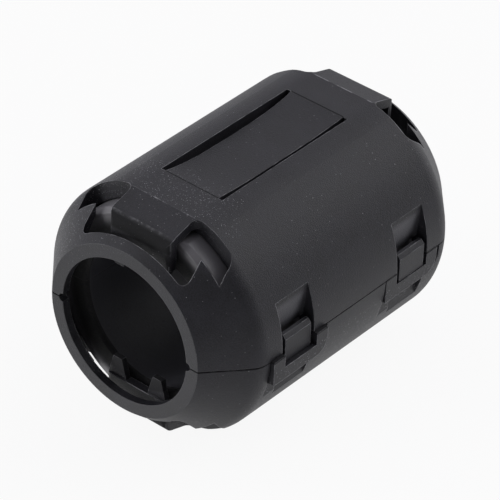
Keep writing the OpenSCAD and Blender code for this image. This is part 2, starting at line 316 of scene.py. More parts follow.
class CoreLook(bpy.types.PropertyGroup):
    """Sintered ferrite of the two cores."""

    colour: bpy.props.FloatVectorProperty(
        name="Colour",
        description="Base colour of the sintered ferrite",
        subtype="COLOR",
        size=3,
        min=0,
        max=1,
        default=(0.05, 0.05, 0.057),
    )
    # The ends get painted shade from here on, except on the mating and outer faces
    end_from: bpy.props.FloatProperty(
        name="Dusky ends from",
        description="Distance from the middle where the halves' chamfered ends begin",
        subtype="DISTANCE",
        unit="LENGTH",
        min=0,
        default=14 * MM,
    )
    # On the mating faces this colour is the ground finish; on the outer face it is a
    # painted sheen
    ground_and_sheen_colour: bpy.props.FloatVectorProperty(
        name="Ground colour",
        description="Colour of the ground mating faces and of the outer face",
        subtype="COLOR",
        size=3,
        min=0,
        max=1,
        default=(0.16, 0.155, 0.165),
    )
    chipped_colour: bpy.props.FloatVectorProperty(
        name="Chipped colour",
        description="Colour of the cores' tumbled edges",
        subtype="COLOR",
        size=3,
        min=0,
        max=1,
        default=(0.055, 0.055, 0.061),
    )
    roughness: bpy.props.FloatProperty(
        name="Roughness",
        description="Roughness of the tumbled ferrite",
        subtype="FACTOR",
        min=0,
        max=1,
        default=0.42,
    )
    edge_radius: bpy.props.FloatProperty(
        name="Edge radius",
        description="Radius that the light sees on the cores' edges",
        subtype="DISTANCE",
        unit="LENGTH",
        min=0,
        default=0.2 * MM,
    )
    grain_size: bpy.props.FloatProperty(
        name="Grain size",
        description="Width of the sintered grains' clusters",
        subtype="DISTANCE",
        unit="LENGTH",
        min=0.01 * MM,
        default=0.16 * MM,
    )


class HingeLook(bpy.types.PropertyGroup):
    """Living hinge, folded while the case is shut."""

    web: bpy.props.FloatProperty(
        name="Web",
        description="Thickness of the straps' thin web",
        subtype="DISTANCE",
        unit="LENGTH",
        min=0.05 * MM,
        default=0.25 * MM,
    )
    fold_steps: bpy.props.IntProperty(
        name="Fold steps",
        description="Number of faces round half a turn of the fold",
        min=8,
        default=32,
    )


class StudioLook(bpy.types.PropertyGroup):
    """Floor, lamps and camera."""

    floor_colour: bpy.props.FloatVectorProperty(
        name="Floor colour",
        description="Colour of the floor",
        subtype="COLOR",
        size=3,
        min=0,
        max=1,
        default=(0.93, 0.93, 0.93),
    )
    sky_dark: bpy.props.FloatProperty(
        name="Dark side",
        description="Strength of the sky on the room's dark side",
        min=0,
        default=0.1,
    )
    sky_bright: bpy.props.FloatProperty(
        name="Bright side",
        description="Strength of the sky on the window's side",
        min=0,
        default=0.66,
    )
    sky_from: bpy.props.FloatVectorProperty(
        name="Window side",
        description="Direction that the soft daylight comes from",
        subtype="DIRECTION",
        size=3,
        default=(-0.75, 0.62, 0.25),
    )
    side_power: bpy.props.FloatProperty(
        name="Side lamp",
        description="Power of the lamp that lights the latches' side",
        subtype="POWER",
        unit="POWER",
        min=0,
        default=0.38,
    )
    rear_power: bpy.props.FloatProperty(
        name="Rear lamp",
        description="Power of the lamp that shines into the cable opening from behind",
        subtype="POWER",
        unit="POWER",
        min=0,
        default=0.34,
    )
    front_power: bpy.props.FloatProperty(
        name="Front lamp",
        description="Power of the low lamp that lights the near ring",
        subtype="POWER",
        unit="POWER",
        min=0,
        default=1.1,
    )
    # The floor's glow in the bead's reflections is painted light, with a painted shadow on
    # the dark side
    patch_place: bpy.props.FloatVectorProperty(
        name="Bright patch",
        description="Middle of the patch of floor that the near ring mirrors",
        subtype="TRANSLATION",
        unit="LENGTH",
        default=(-0.008, -0.033, 0),
    )
    patch_sheen: bpy.props.FloatProperty(
        name="Patch brightness",
        description="How bright the near ring sees that patch",
        subtype="FACTOR",
        min=0,
        max=1,
        default=1.0,
    )
    floor_sheen: bpy.props.FloatProperty(
        name="Floor sheen",
        description="Share of white in the floor as the bead's lit side mirrors it",
        subtype="FACTOR",
        min=0,
        max=1,
        default=0.7,
    )
    floor_far: bpy.props.FloatProperty(
        name="Far floor",
        description="Share of its sheen that the floor keeps away from the bead",
        subtype="FACTOR",
        min=0,
        max=1,
        default=0.35,
    )
    floor_dim: bpy.props.FloatProperty(
        name="Floor on the dark side",
        description="Share of white in the floor as the bead's dark side mirrors it",
        subtype="FACTOR",
        min=0,
        max=1,
        default=0.05,
    )
    floor_glow: bpy.props.FloatProperty(
        name="Floor glow",
        description="Share of white in the floor as the camera sees it",
        subtype="FACTOR",
        min=0,
        max=1,
        default=0.92,
    )
    lens: bpy.props.FloatProperty(
        name="Lens",
        description="Focal length of the camera",
        subtype="DISTANCE_CAMERA",
        unit="CAMERA",
        min=1,
        default=259.56,
    )
    azimuth: bpy.props.FloatProperty(
        name="Azimuth",
        description="Camera's turn from the near end towards the latches",
        subtype="ANGLE",
        unit="ROTATION",
        default=math.radians(38.87),
    )
    elevation: bpy.props.FloatProperty(
        name="Elevation",
        description="Camera's height above the horizon",
        subtype="ANGLE",
        unit="ROTATION",
        default=math.radians(36.15),
    )
    roll: bpy.props.FloatProperty(
        name="Roll",
        description="Camera's turn about its own line of sight",
        subtype="ANGLE",
        unit="ROTATION",
        default=math.radians(2.48),
    )
    distance: bpy.props.FloatProperty(
        name="Distance",
        description="Camera's distance from the middle of the cable axis",
        subtype="DISTANCE",
        unit="LENGTH",
        min=0.05,
        default=0.3375,
    )


# ---------------------------------------------------------------- node tools

# A Mix node in colour mode: its factor and two colours, and its result
MIX_FACTOR_AND_COLOURS = (0, 6, 7)
MIX_RESULT = 2


def new_group(name, inputs, outputs):
    """An empty group; inputs are (name, default, low, high), outputs (name, type)."""
    group = bpy.data.node_groups.new(name, "ShaderNodeTree")
    for label, default, low, high in inputs:
        socket = group.interface.new_socket(
            name=label, in_out="INPUT", socket_type="NodeSocketFloat"
        )
        socket.default_value = default
        socket.min_value = low
        socket.max_value = high
    for label, kind in outputs:
        group.interface.new_socket(name=label, in_out="OUTPUT", socket_type=kind)
    return group, group.nodes.new("NodeGroupInput"), group.nodes.new("NodeGroupOutput")


def add_node(tree, kind, values=None, **settings):
    """One node with its settings made and its inputs given."""
    node = tree.nodes.new(kind)
    for name, value in settings.items():
        setattr(node, name, value)
    for name, value in (values or {}).items():
        node.inputs[name].default_value = value
    return node


def feed(tree, socket, value):
    """Links a socket to an input, or sets the input to a number or colour."""
    if isinstance(value, bpy.types.NodeSocket):
        tree.links.new(value, socket)
    else:
        socket.default_value = value


def maths(tree, operation, first, second=0.0, clamp=False):
    """A Math node on its inputs, each a socket or a number."""
    node = add_node(tree, "ShaderNodeMath", operation=operation, use_clamp=clamp)
    feed(tree, node.inputs[0], first)
    feed(tree, node.inputs[1], second)
    return node.outputs[0]


def product(tree, first, *others):
    """Values multiplied together, as masks that must all hold."""
    for other in others:
        first = maths(tree, "MULTIPLY", first, other)
    return first


def largest(tree, first, *others):
    """The largest of the values, as masks of which any may hold."""
    for other in others:
        first = maths(tree, "MAXIMUM", first, other)
    return first


def size_of(tree, value):
    """A value without its sign."""
    return maths(tree, "ABSOLUTE", value)


def map_range(tree, value, low, high, to_low=0.0, to_high=1.0):
    """A value between low and high, mapped to another range and held inside it."""
    node = add_node(
        tree,
        "ShaderNodeMapRange",
        {"From Min": low, "From Max": high, "To Min": to_low, "To Max": to_high},
    )
    tree.links.new(value, node.inputs["Value"])
    return node.outputs["Result"]


def mix_colour(tree, factor, first, second):
    """A colour Mix node; each colour is a socket or four numbers."""
    node = add_node(tree, "ShaderNodeMix", data_type="RGBA")
    for index, value in zip(MIX_FACTOR_AND_COLOURS, (factor, first, second)):
        feed(tree, node.inputs[index], value)
    return node.outputs[MIX_RESULT]


def measure(tree, operation, vector, fixed):
    """The number that a Vector Math node makes of a socket and a fixed vector."""
    node = add_node(tree, "ShaderNodeVectorMath", operation=operation)
    tree.links.new(vector, node.inputs[0])
    node.inputs[1].default_value = fixed
    return node.outputs["Value"]


def coordinates(tree, kind):
    """One output of the Texture Coordinate node."""
    return add_node(tree, "ShaderNodeTexCoord").outputs[kind]


def parts_of(tree, vector):
    """A vector's parts across, along and up."""
    node = add_node(tree, "ShaderNodeSeparateXYZ")
    tree.links.new(vector, node.inputs[0])
    return tuple(node.outputs)


def reach_from_axis(tree, spot):
    """How far a point lies from the cable axis."""
    section = add_node(tree, "ShaderNodeVectorMath", operation="MULTIPLY")
    tree.links.new(spot, section.inputs[0])
    section.inputs[1].default_value = (1, 0, 1)
    return measure(tree, "DISTANCE", section.outputs[0], (0, 0, AXIS_HEIGHT))


# ---------------------------------------------------------------- shared effects

# Softened edges: how far the normal turns on an edge, how much room there is round a proud
# edge and in a hollow, and how the edge marks, wear and painted highlight, come in patches
EDGE_TURNS = (0.998, 0.96)
PROUD_ROOM = (0.7, 0.95)
HOLLOW_ROOM = (0.65, 0.15)
EDGE_PATCHES = (0.4, 0.58, 0.15)

# Mould grain: shares of grain and cloud in the tone and the tone's spread, how much
# wider a cloud is than a grain, and a fleck's soft edge and contrast
GRAIN_IN_TONE = 0.65
CLOUD_IN_TONE = 0.35
TONE_SPREAD = (0.36, 0.64)
CLOUD_GRAINS = 25
FLECK_EDGE = (0.3, 0.16)
FLECK_CONTRAST = 1.5


def softened_edges_group():
    """Rounds the edges that the light sees, and masks pale edges, partly wear and partly
    painted highlight, and deep corners, which the materials darken as painted shade.
    """
    name = "Softened edges"
    if name in bpy.data.node_groups:
        return bpy.data.node_groups[name]
    group, entry, leave = new_group(
        name,
        [
            ("Radius", 0.0001, 0.0, 0.01),
            ("Line width", 0.00005, 0.0, 0.01),
            ("Depth", 0.0005, 0.0, 0.01),
            ("Wear scale", 900.0, 0.0, 1e6),
        ],
        [
            ("Normal", "NodeSocketVector"),
            ("Edge", "NodeSocketFloat"),
            ("Hollow", "NodeSocketFloat"),
        ],
    )
    links = group.links
    bevel = add_node(group, "ShaderNodeBevel", samples=8)
    links.new(entry.outputs["Radius"], bevel.inputs["Radius"])
    links.new(bevel.outputs["Normal"], leave.inputs["Normal"])
    # An edge is where a narrow bevel turns away from the surface itself
    narrow = add_node(group, "ShaderNodeBevel", samples=6)
    links.new(entry.outputs["Line width"], narrow.inputs["Radius"])
    flat = add_node(group, "ShaderNodeNewGeometry")
    turn = add_node(group, "ShaderNodeVectorMath", operation="DOT_PRODUCT")
    links.new(narrow.outputs["Normal"], turn.inputs[0])
    links.new(flat.outputs["Normal"], turn.inputs[1])
    edge = map_range(group, turn.outputs["Value"], *EDGE_TURNS)
    # Only proud edges get the pale edge mark, in patches: wear, and on the case also
    # painted highlight; corners with little room are hollows, darkened by the materials as
    # painted shade
    room = add_node(group, "ShaderNodeAmbientOcclusion", samples=6)
    links.new(entry.outputs["Depth"], room.inputs["Distance"])
    proud = map_range(group, room.outputs["AO"], *PROUD_ROOM)
    patches = add_node(group, "ShaderNodeTexNoise", {"Detail": 3.0, "Roughness": 0.6})
    links.new(coordinates(group, "Object"), patches.inputs["Vector"])
    links.new(entry.outputs["Wear scale"], patches.inputs["Scale"])
    worn = map_range(group, patches.outputs["Fac"], *EDGE_PATCHES)
    links.new(product(group, edge, worn, proud), leave.inputs["Edge"])
    # The hollow mask comes from ambient occlusion and carries painted shade
    hollow = map_range(group, room.outputs["AO"], *HOLLOW_ROOM)
    links.new(hollow, leave.inputs["Hollow"])
    return group


def mould_grain_group():
    """Fine texture of a spark-eroded mould: height, tone and pale flecks, which the case
    uses as fibres and as painted glints.
    """
    name = "Mould grain"
    if name in bpy.data.node_groups:
        return bpy.data.node_groups[name]
    group, entry, leave = new_group(
        name,
        [
            ("Grain size", 0.0001, 1e-5, 0.01),
            ("Fleck size", 0.0003, 1e-5, 0.01),
            ("Fleck amount", 0.5, 0.0, 1.0),
        ],
        [
            ("Height", "NodeSocketFloat"),
            ("Tone", "NodeSocketFloat"),
            ("Fleck", "NodeSocketFloat"),
        ],
    )
    links = group.links
    place = coordinates(group, "Object")
    fine_scale = maths(group, "DIVIDE", 1.0, entry.outputs["Grain size"])
    fine = add_node(group, "ShaderNodeTexNoise", {"Detail": 2.0, "Roughness": 0.55})
    links.new(place, fine.inputs["Vector"])
    links.new(fine_scale, fine.inputs["Scale"])
    links.new(fine.outputs["Fac"], leave.inputs["Height"])
    # The tone follows the grain and the clouds
    cloud = add_node(group, "ShaderNodeTexNoise", {"Detail": 4.0, "Roughness": 0.6})
    links.new(place, cloud.inputs["Vector"])
    links.new(product(group, fine_scale, 1 / CLOUD_GRAINS), cloud.inputs["Scale"])
    tone = maths(
        group,
        "ADD",
        product(group, fine.outputs["Fac"], GRAIN_IN_TONE),
        product(group, cloud.outputs["Fac"], CLOUD_IN_TONE),
    )
    links.new(map_range(group, tone, *TONE_SPREAD), leave.inputs["Tone"])
    # Each cell may show one fleck, and each fleck has its own brightness
    cells = add_node(group, "ShaderNodeTexVoronoi", {"Randomness": 1.0}, feature="F1")
    links.new(place, cells.inputs["Vector"])
    links.new(
        maths(group, "DIVIDE", 1.0, entry.outputs["Fleck size"]), cells.inputs["Scale"]
    )
    spot = map_range(group, cells.outputs["Distance"], *FLECK_EDGE)
    pick = add_node(group, "ShaderNodeSeparateColor")
    links.new(cells.outputs["Color"], pick.inputs["Color"])
    limit = maths(group, "SUBTRACT", 1.0, entry.outputs["Fleck amount"])
    chosen = maths(group, "GREATER_THAN", pick.outputs["Red"], limit)
    bright = maths(group, "POWER", pick.outputs["Green"], FLECK_CONTRAST)
    links.new(product(group, spot, bright, chosen), leave.inputs["Fleck"])
    return group


def crease_group():
    """Lines where strips and fingers leave their flats and where the halves meet."""
    name = "Creases"
    if name in bpy.data.node_groups:
        return bpy.data.node_groups[name]
    group, entry, leave = new_group(
        name,
        [
            ("Strip end", 0.0089, 0.0, 1.0),
            ("Strip half", 0.00315, 0.0, 1.0),
            ("Line width", 0.0001, 0.0, 0.01),
            ("Latch place", LATCH_PLACE, 0.0, 1.0),
            ("Latch half", 0.0022, 0.0, 1.0),
            ("Finger fold", 0.0125, 0.0, 1.0),
            ("Finger half", 0.0037, 0.0, 1.0),
        ],
        [("Line", "NodeSocketFloat"), ("Pale line", "NodeSocketFloat")],
    )
    size = entry.outputs
    across, along, up = parts_of(group, coordinates(group, "Object"))
    from_side, from_middle = size_of(group, across), size_of(group, along)
    rise = size_of(group, maths(group, "SUBTRACT", up, AXIS_HEIGHT))
    on_flats = maths(group, "GREATER_THAN", rise, FLATS_FROM)

    def away_from(place):
        """Distance along the cable axis from a place given by name."""
        return size_of(group, maths(group, "SUBTRACT", from_middle, size[place]))

    def line_at(distance):
        """A line that fades out over its width."""
        part = maths(group, "DIVIDE", distance, size["Line width"])
        return maths(group, "SUBTRACT", 1.0, part, clamp=True)

    strip = product(
        group,
        line_at(away_from("Strip end")),
        maths(group, "LESS_THAN", from_side, size["Strip half"]),
        on_flats,
    )
    latch = product(
        group,
        maths(group, "LESS_THAN", away_from("Latch place"), size["Latch half"]),
        maths(group, "GREATER_THAN", across, LATCH_SIDE[0]),
    )
    seam = product(
        group,
        line_at(rise),
        maths(group, "SUBTRACT", 1.0, latch),
        maths(group, "GREATER_THAN", across, HINGE_SIDE),
    )
    group.links.new(largest(group, strip, seam), leave.inputs["Line"])
    # The fold's pale line is a painted highlight
    fold = product(
        group,
        line_at(product(group, away_from("Finger fold"), FOLD_NARROWING)),
        maths(group, "LESS_THAN", from_side, size["Finger half"]),
        on_flats,
    )
    group.links.new(fold, leave.inputs["Pale line"])
    return group


# ---------------------------------------------------------------- materials


def new_material(name):
    """A material by name, with its tree and its Principled shader."""
    material = bpy.data.materials.new(name)
    material.use_nodes = True
    tree = material.node_tree
    return material, tree, tree.nodes["Principled BSDF"]


def add_group(tree, group, values):
    """A shared effect, placed with this material's own values."""
    return add_node(tree, "ShaderNodeGroup", values, node_tree=group)


def tones(colour, dark, light):
    """A colour in a darker and a lighter tone."""
    return rgba([dark * c for c in colour]), rgba([light * c for c in colour])


def roughen(tree, shader, tone, smooth, rough, dull):
    """Roughness that follows the grain's tone, with a dull mask added."""
    matte = map_range(tree, tone, 0.0, 1.0, smooth, rough)
    total = maths(tree, "ADD", matte, dull, clamp=True)
    tree.links.new(total, shader.inputs["Roughness"])


def bump_on(tree, shader, height, normal, strength, distance):
    """Fine relief on a softened surface."""
    bump = add_node(
        tree, "ShaderNodeBump", {"Strength": strength, "Distance": distance}
    )
    tree.links.new(height, bump.inputs["Height"])
    tree.links.new(normal, bump.inputs["Normal"])
    tree.links.new(bump.outputs["Normal"], shader.inputs["Normal"])


def fleck_and_glint_places(tree, look, spot):
    """Where the near end and the lower half show pale flecks, partly fibres and partly
    painted glints where the light grazes.
    """
    across, along, up = parts_of(tree, spot)
    band = product(
        tree,
        map_range(tree, along, look.scuff_from, look.scuff_from - BAND_LENGTH),
        map_range(tree, along, *BAND_THINS, RING_FLECKS),
    )
    cheek = product(
        tree,
        map_range(tree, along, *CHEEK_ALONG),
        map_range(tree, along, *CHEEK_ENDS),
        map_range(tree, across, *CHEEK_ACROSS),
    )
    rise = measure(tree, "DOT_PRODUCT", spot, UPPER_SIDE)
    foot = UPPER_SIDE[2] * AXIS_HEIGHT
    upper = map_range(tree, rise, *(foot + step for step in UPPER_RISE))
    below = (AXIS_HEIGHT + step for step in LOWER_HALF)
    lower = product(
        tree,
        map_range(tree, up, *below, 0.0, LOWER_FLECKS),
        map_range(tree, size_of(tree, along), *LOWER_ENDS),
    )
    return product(
        tree,
        largest(tree, product(tree, largest(tree, band, cheek), upper), lower),
        map_range(tree, across, *HINGE_FLECKS, FEW_HINGE_FLECKS),
    )


def finger_places(tree, look, spot):
    """Where the four end fingers stand proud of their flats."""
    across, along, up = parts_of(tree, spot)
    from_middle = size_of(tree, along)
    rise = size_of(tree, maths(tree, "SUBTRACT", up, AXIS_HEIGHT))
    return product(
        tree,
        maths(tree, "GREATER_THAN", from_middle, look.finger_fold),
        maths(tree, "LESS_THAN", from_middle, FINGER_TIP),
        maths(tree, "LESS_THAN", size_of(tree, across), FINGER_HALF),
        map_range(tree, rise, *FINGER_RISE),
    )


def latch_floor_sheen(tree, look, spot, reach):
    """The floors above the latches, lighter with a painted sheen that gives way to painted
    shade on a slant towards their far side.
    """
    across, along, up = parts_of(tree, spot)
    side = maths(tree, "SIGN", along)
    beside = maths(tree, "SUBTRACT", along, product(tree, side, LATCH_PLACE))
    climb = maths(tree, "SUBTRACT", up, AXIS_HEIGHT + SLANT_FROM)
    slant = maths(tree, "SUBTRACT", beside, product(tree, climb, SLANT_SLOPE))
    return product(
        tree,
        map_range(tree, reach, look.recess_from, look.recess_from - FLOOR_EDGE),
        map_range(tree, slant, *SLANT_DARKENS, 1.0, FLOOR_FAR_SIDE),
        map_range(tree, size_of(tree, along), *FLOOR_ENDS),
        map_range(tree, across, *LATCH_SIDE),
        map_range(tree, up, *(AXIS_HEIGHT + step for step in FLOOR_RISE)),
    )


def rubbed_and_highlit_places(tree, look, spot, edge, fold, brow):
    """Pale edges, partly wear and partly painted highlight, and broken lines of painted
    highlight along the fingers' folds and brows.
    """
    patchy = add_node(tree, "ShaderNodeTexNoise", {"Detail": 2.0, "Roughness": 0.5})
    tree.links.new(spot, patchy.inputs["Vector"])
    patchy.inputs["Scale"].default_value = 1 / (BREAK_GRAINS * look.grain_size)
    lines = product(
        tree,
        largest(tree, product(tree, brow, BROW_SHARE), product(tree, fold, FOLD_SHARE)),
        map_range(tree, patchy.outputs["Fac"], *LINE_BREAKS),
    )
    from_middle = size_of(tree, parts_of(tree, spot)[1])
    off_ring = map_range(tree, from_middle, *RING_LIP, RING_EDGE_SHARE)
    return largest(tree, product(tree, edge, off_ring), lines)


def moulded_case(look):
    """Matte black polyamide with mould grain, pale flecks and edges that are partly fibres
    and wear and partly painted glints and highlights, a painted sheen on the latch floors,
    and painted shade in hollows, on the fingers' fronts and in the bore.
    """
    material, tree, shader = new_material("Moulded case")
    links = tree.links
    shader.inputs["IOR"].default_value = 1.5
    shader.inputs["Specular IOR Level"].default_value = 0.5
    spot = coordinates(tree, "Object")
    reach = reach_from_axis(tree, spot)
    edges = add_group(
        tree,
        softened_edges_group(),
        {
            "Radius": look.edge_radius,
            "Line width": 0.5 * look.edge_radius,
            "Depth": 3 * look.edge_radius,
            "Wear scale": 1 / (12 * look.grain_size),
        },
    )
    grain = add_group(
        tree,
        mould_grain_group(),
        {"Grain size": look.grain_size, "Fleck size": look.fleck_size},
    )
    # Pale flecks, partly fibres and partly painted glints where the light grazes
    places = fleck_and_glint_places(tree, look, spot)
    amount = map_range(tree, places, 0.0, 1.0, FEWEST_FLECKS)
    links.new(amount, grain.inputs["Fleck amount"])
    crease = add_group(
        tree,
        crease_group(),
        {
            "Strip end": look.strip_end,
            "Strip half": look.strip_half,
            "Line width": 0.9 * look.edge_radius,
            "Finger fold": look.finger_fold,
        },
    )

    # The fingers' ends face along the cable: their brows get a painted highlight, their
    # fronts painted shade
    fingers = finger_places(tree, look, spot)
    endwise = size_of(tree, parts_of(tree, coordinates(tree, "Normal"))[1])
    brow = product(
        tree,
        map_range(tree, endwise, *BROW_BEGINS),
        map_range(tree, endwise, *BROW_ENDS),
        fingers,
    )
    front = product(tree, map_range(tree, endwise, *FRONT_BEGINS), fingers)

    deep, pale = tones(look.colour, *CASE_TONES)
    colour = mix_colour(tree, grain.outputs["Tone"], deep, pale)
    fleck = product(tree, grain.outputs["Fleck"], FLECK_SHARE)
    colour = mix_colour(tree, fleck, colour, rgba(look.fleck_colour))
    # Pale edges, brows and folds: partly wear and partly painted highlight
    rubbed = rubbed_and_highlit_places(
        tree, look, spot, edges.outputs["Edge"], crease.outputs["Pale line"], brow
    )
    colour = mix_colour(tree, rubbed, colour, rgba(look.rubbed_and_highlight_colour))
    # Painted sheen on the latch floors
    floors = product(tree, latch_floor_sheen(tree, look, spot, reach), LATCH_SHEEN_SHARE)
    colour = mix_colour(tree, floors, colour, rgba(look.recess_sheen_colour))
    # Painted shade in hollows, on the fingers' fronts and on the teeth in the bore,
    # together with the darker lines at the strip's ends and the seam
    dim = largest(
        tree,
        product(tree, edges.outputs["Hollow"], HOLLOW_SHARE),
        product(tree, front, FRONT_SHARE),
        map_range(tree, reach, *TOOTH_REACH, 0.0, TOOTH_SHARE),
    )
    shade = maths(tree, "MAXIMUM", dim, crease.outputs["Line"], clamp=True)
    shaded = product(tree, shade, SHADE_SHARE)
    colour = mix_colour(tree, shaded, colour, CASE_SHADE)
    links.new(colour, shader.inputs["Base Color"])

    smooth, rough = look.roughness - 0.04, look.roughness + 0.05
    dull = map_range(tree, shade, 0.0, 1.0, 0.0, 0.45)
    roughen(tree, shader, grain.outputs["Tone"], smooth, rough, dull)
    groove = product(tree, crease.outputs["Line"], GROOVE_DEPTH)
    height = maths(tree, "SUBTRACT", grain.outputs["Height"], groove)
    bump_on(
        tree, shader, height, edges.outputs["Normal"], 1.0, 0.42 * look.grain_size
    )
    return material


def sintered_ferrite(look):
    """Dark grey ferrite, tumbled smooth, paler on its edges and its ground mating faces,
    with a painted sheen on its outer face and painted shade on its ends and in its
    hollows.
    """
    material, tree, shader = new_material("Sintered ferrite")
    links = tree.links
    shader.inputs["IOR"].default_value = 1.9
    shader.inputs["Specular IOR Level"].default_value = 0.38
    edges = add_group(
        tree,
        softened_edges_group(),
        {
            "Radius": look.edge_radius,
            "Line width": 0.5 * look.edge_radius,
            "Depth": 6 * look.edge_radius,
            "Wear scale": 1 / (8 * look.grain_size),
        },
    )
    grain = add_group(
        tree,
        mould_grain_group(),
        {
            "Grain size": look.grain_size,
            "Fleck size": 3 * look.grain_size,
            "Fleck amount": 0.3,
        },
    )
    spot = coordinates(tree, "Object")
    _, along, up = parts_of(tree, spot)
    rise = size_of(tree, maths(tree, "SUBTRACT", up, AXIS_HEIGHT))
    upright = size_of(tree, parts_of(tree, coordinates(tree, "Normal"))[2])
    mating = product(
        tree,
        map_range(tree, upright, *MATING_BEGINS),
        maths(tree, "LESS_THAN", rise, MATING_RISE),
    )
    # The outer face is paler as a painted sheen
    outer = map_range(tree, reach_from_axis(tree, spot), *OUTER_FACE)
    ground = largest(tree, mating, outer)
    # Painted shade on the ends and in hollows
    end = map_range(
        tree, size_of(tree, along), look.end_from, look.end_from + CORE_END
    )
    dusky = product(
        tree,
        largest(tree, end, edges.outputs["Hollow"]),
        maths(tree, "SUBTRACT", 1.0, ground),
    )

    deep, pale = tones(look.colour, *CORE_TONES)
    colour = mix_colour(tree, grain.outputs["Tone"], deep, pale)
    pits = product(tree, grain.outputs["Fleck"], PIT_SHARE)
    colour = mix_colour(tree, pits, colour, rgba([PIT_TONE * c for c in look.colour]))
    wear = product(tree, edges.outputs["Edge"], WEAR_SHARE)
    colour = mix_colour(tree, wear, colour, rgba(look.chipped_colour))
    faces = product(tree, ground, GROUND_AND_SHEEN_SHARE)
    colour = mix_colour(tree, faces, colour, rgba(look.ground_and_sheen_colour))
    colour = mix_colour(tree, dusky, colour, CORE_SHADE)
    links.new(colour, shader.inputs["Base Color"])

    smooth, rough = look.roughness - 0.06, look.roughness + 0.1
    dull = map_range(tree, dusky, 0.0, 0.6, 0.0, 0.5)
    roughen(tree, shader, grain.outputs["Tone"], smooth, rough, dull)
    bump_on(
        tree,
        shader,
        grain.outputs["Height"],
        edges.outputs["Normal"],
        0.5,
        0.12 * look.grain_size,
    )
    return material


def pale_floor(look):
    """White floor that keeps the bead's shadow, and glows with painted light where the
    bead mirrors it.
    """
    material, tree, shader = new_material("Pale floor")
    links = tree.links
    shader.inputs["Base Color"].default_value = rgba(look.floor_colour)
    shader.inputs["Roughness"].default_value = 0.8
    shader.inputs["Specular IOR Level"].default_value = 0.1
    spot = coordinates(tree, "Object")
    side = measure(tree, "DOT_PRODUCT", spot, LIT_SIDE)
    lit = map_range(tree, side, *LIT_FROM, look.floor_dim, look.floor_sheen)
    reach = measure(tree, "DISTANCE", spot, (0, 0, 0))
    far = map_range(tree, reach, *FLOOR_FADES, 1.0, look.floor_far)
    around = measure(tree, "DISTANCE", spot, look.patch_place)
    patch = map_range(tree, around, *PATCH_EDGE, 0.0, look.patch_sheen)

    # The camera sees an evenly white floor; what the bead mirrors is painted light: a
    # glowing lit side and bright patch, and a painted shadow on the dark side
    path = add_node(tree, "ShaderNodeLightPath").outputs
    mirrored = largest(tree, path["Is Glossy Ray"], path["Is Transmission Ray"])
    share = largest(
        tree,
        product(tree, path["Is Camera Ray"], look.floor_glow),
        product(tree, mirrored, largest(tree, product(tree, lit, far), patch)),
    )
    glow = add_node(tree, "ShaderNodeEmission", {"Color": WHITE, "Strength": 1.0})
    mix = add_node(tree, "ShaderNodeMixShader")
    links.new(share, mix.inputs[0])
    links.new(shader.outputs[0], mix.inputs[1])
    links.new(glow.outputs[0], mix.inputs[2])
    links.new(mix.outputs[0], tree.nodes["Material Output"].inputs["Surface"])
    return material


def shared_material(name, make, look):
    """The material of that name, made on first use."""
    return bpy.data.materials.get(name) or make(look)


def finish_node(node, material):
    """Gives a part from model.glb its finish."""
    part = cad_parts[node]
    part.data.materials.clear()
    part.data.materials.append(material)


# ---------------------------------------------------------------- pieces


def folded_strap(node, look):
    """A living hinge's strap: a thin web that folds from one half into the other."""
    low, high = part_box(node)
    outer = (high.z - low.z) / 2
    fold = Vector((low.x + outer, (low.y + high.y) / 2, (low.z + high.z) / 2))
    shape = bmesh.new()
    web = bmesh.ops.create_grid(shape, x_segments=2, y_segments=10, size=0.5)["verts"]
    bmesh.ops.scale(shape, vec=(look.web, high.y - low.y, 1), verts=web)
    on_edge = Matrix.Rotation(math.pi / 2, 3, "Y")
    bmesh.ops.rotate(shape, verts=web, cent=(0, 0, 0), matrix=on_edge)
    under = fold - Vector((0, 0, outer - look.web / 2))
    bmesh.ops.translate(shape, verts=web, vec=(high.x, under.y, under.z))

    # The straight run below, out to the fold
    start = shape.faces[:]
    end = bmesh.ops.extrude_face_region(shape, geom=start, use_keep_orig=True)["geom"]
    leading = [g for g in end if isinstance(g, bmesh.types.BMVert)]
    bmesh.ops.translate(shape, verts=leading, vec=(fold.x - high.x, 0, 0))

    # Half a turn round the fold
    section = [g for g in end if isinstance(g, bmesh.types.BMFace)]
    edges = list(dict.fromkeys(e for f in section for e in f.edges))
    turned = bmesh.ops.spin(
        shape,
        geom=section + edges + leading,
        cent=fold,
        axis=(0, 1, 0),
        angle=math.pi,
        steps=look.fold_steps,
    )["geom_last"]
    bmesh.ops.delete(
        shape, geom=[f for f in section if f.is_valid], context="FACES_ONLY"
    )

    # The straight run above, back to the case
    last = [g for g in turned if isinstance(g, bmesh.types.BMFace)]
    tip = bmesh.ops.extrude_face_region(shape, geom=last)["geom"]
    bmesh.ops.translate(
        shape,
        verts=[g for g in tip if isinstance(g, bmesh.types.BMVert)],
        vec=(high.x - fold.x, 0, 0),
    )

    bmesh.ops.remove_doubles(shape, verts=shape.verts, dist=SAME_POINT)
    bmesh.ops.recalc_face_normals(shape, faces=shape.faces)
    mesh = bpy.data.meshes.new(node + "_web")
    shape.to_mesh(mesh)
    shape.free()
    for face in mesh.polygons:
        face.use_smooth = True
    strap = bpy.data.objects.new(node + "_web", mesh)
    bpy.context.scene.collection.objects.link(strap)
    return strap, fold, outer


class BEAD_OT_finish_case(bpy.types.Operator):
    """Gives the two half shells and the latch loops their moulded finish"""

    bl_idname = "bead.finish_case"
    bl_label = "Finish the case"

    def execute(self, context):
        look = context.scene.bead_case
        for node in CASE_NODES:
            plastic = shared_material("Moulded case", moulded_case, look)
            finish_node(node, plastic)
        return {"FINISHED"}


